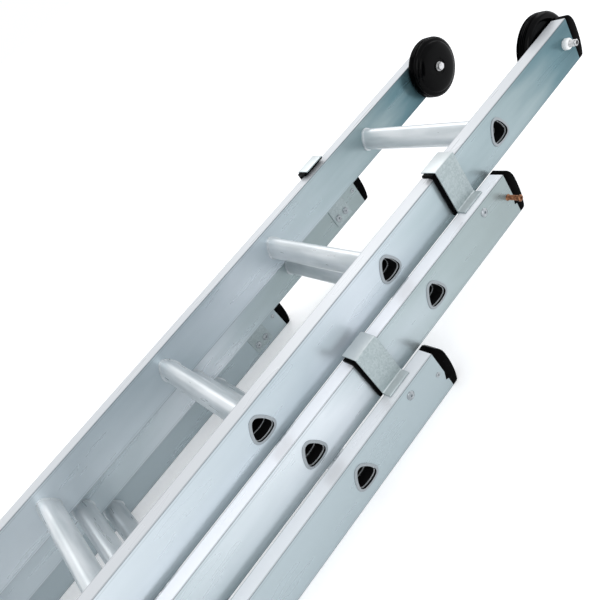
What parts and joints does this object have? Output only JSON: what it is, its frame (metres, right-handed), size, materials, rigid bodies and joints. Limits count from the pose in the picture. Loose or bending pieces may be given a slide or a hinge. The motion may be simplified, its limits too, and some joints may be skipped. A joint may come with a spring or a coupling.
{
  "type": "extension ladder",
  "caption": "Nested push-up extension ladder: box stiles, rounded triangular rungs, riveted guide brackets, wall wheels at the top, rubber feet and sprung rung latches.",
  "frame": {"origin": "middle of the footprint of the nested ladder lying on the back faces of its widest section", "axes": "+X across the rungs to the right seen from the front with the top end up, +Y up the ladder towards the wall wheels, +Z out of the front from the wide base section to the narrow top section"},
  "size_m": [0.4672, 3.0604, 0.226],
  "materials": {
    "aluminium_stile": "satin mill aluminium",
    "aluminium_rung": "bright mill aluminium",
    "black_plastic": "black moulded plastic, slightly glossy",
    "black_rubber": "black rubber",
    "galvanised_steel": "galvanised sheet with spangle",
    "aluminium_rivet": "smooth rivet heads",
    "copper_screw": "copper-coloured plating",
    "zinc_steel": "zinc-plated steel",
    "white_nylon": "white nylon",
    "spring_steel": "spring steel",
    "wheel_rubber": "black moulded tyre"
  },
  "bodies": {
    "base": {"base_stile_left": "aluminium_stile", "base_stile_right": "aluminium_stile", "base_rung_1": "aluminium_rung", "base_rung_2": "aluminium_rung", "base_rung_3": "aluminium_rung", "base_rung_4": "aluminium_rung", "base_rung_5": "aluminium_rung", "base_rung_6": "aluminium_rung", "base_rung_7": "aluminium_rung", "base_rung_8": "aluminium_rung", "base_end_caps": "black_plastic", "base_guide_left": "galvanised_steel", "base_guide_right": "galvanised_steel", "base_guide_liners": "black_plastic", "base_foot_left": "black_rubber", "base_foot_right": "black_rubber", "base_rivets": "aluminium_rivet"},
    "middle": {"middle_stile_left": "aluminium_stile", "middle_stile_right": "aluminium_stile", "middle_rung_1": "aluminium_rung", "middle_rung_2": "aluminium_rung", "middle_rung_3": "aluminium_rung", "middle_rung_4": "aluminium_rung", "middle_rung_5": "aluminium_rung", "middle_rung_6": "aluminium_rung", "middle_rung_7": "aluminium_rung", "middle_rung_8": "aluminium_rung", "middle_end_caps": "black_plastic", "middle_guide_left": "galvanised_steel", "middle_guide_right": "galvanised_steel", "middle_guide_liners": "black_plastic", "middle_rivets": "aluminium_rivet", "stop_screw": "copper_screw", "middle_latch_plates": "galvanised_steel", "middle_latch_pins": "zinc_steel", "middle_latch_springs": "spring_steel"},
    "top": {"top_stile_left": "aluminium_stile", "top_stile_right": "aluminium_stile", "top_rung_1": "aluminium_rung", "top_rung_2": "aluminium_rung", "top_rung_3": "aluminium_rung", "top_rung_4": "aluminium_rung", "top_rung_5": "aluminium_rung", "top_rung_6": "aluminium_rung", "top_rung_7": "aluminium_rung", "top_rung_8": "aluminium_rung", "top_end_caps": "black_plastic", "top_rivets": "aluminium_rivet", "wheel_axles": "zinc_steel", "axle_nuts": "white_nylon", "top_latch_plates": "galvanised_steel", "top_latch_pins": "zinc_steel", "top_latch_springs": "spring_steel"},
    "wheel_left": {"wheel_left": "wheel_rubber"},
    "middle_pawl_left": {"middle_pawl_left": "galvanised_steel"},
    "top_pawl_left": {"top_pawl_left": "galvanised_steel"},
    "wheel_right": {"wheel_right": "wheel_rubber"},
    "middle_pawl_right": {"middle_pawl_right": "galvanised_steel"},
    "top_pawl_right": {"top_pawl_right": "galvanised_steel"}
  },
  "joints": [
    {"name": "middle_slide", "type": "slide", "parent": "base", "child": "middle", "axis": [0, 1, 0], "range_m": [0, 1.12]},
    {"name": "top_slide", "type": "slide", "parent": "middle", "child": "top", "axis": [0, 1, 0], "range_m": [0, 1.12]},
    {"name": "wheel_left_spin", "type": "hinge", "parent": "top", "child": "wheel_left", "pos_m": [-0.1195, 1.47625, 0.172], "axis": [1, 0, 0], "continuous": true},
    {"name": "wheel_right_spin", "type": "hinge", "parent": "top", "child": "wheel_right", "pos_m": [0.1195, 1.47625, 0.172], "axis": [1, 0, 0], "continuous": true},
    {"name": "middle_pawl_left_hinge", "type": "hinge", "parent": "middle", "child": "middle_pawl_left", "pos_m": [-0.1581, -1.11719, 0.0778], "axis": [-1, 0, 0], "range_deg": [0, 45], "stiffness_Nm_per_rad": 0.15, "springref_deg": -28.65},
    {"name": "middle_pawl_right_hinge", "type": "hinge", "parent": "middle", "child": "middle_pawl_right", "pos_m": [0.1581, -1.11719, 0.0778], "axis": [-1, 0, 0], "range_deg": [0, 45], "stiffness_Nm_per_rad": 0.15, "springref_deg": -28.65},
    {"name": "top_pawl_left_hinge", "type": "hinge", "parent": "top", "child": "top_pawl_left", "pos_m": [-0.1239, -0.85769, 0.1433], "axis": [-1, 0, 0], "range_deg": [0, 45], "stiffness_Nm_per_rad": 0.15, "springref_deg": -28.65},
    {"name": "top_pawl_right_hinge", "type": "hinge", "parent": "top", "child": "top_pawl_right", "pos_m": [0.1239, -0.85769, 0.1433], "axis": [-1, 0, 0], "range_deg": [0, 45], "stiffness_Nm_per_rad": 0.15, "springref_deg": -28.65}
  ]
}
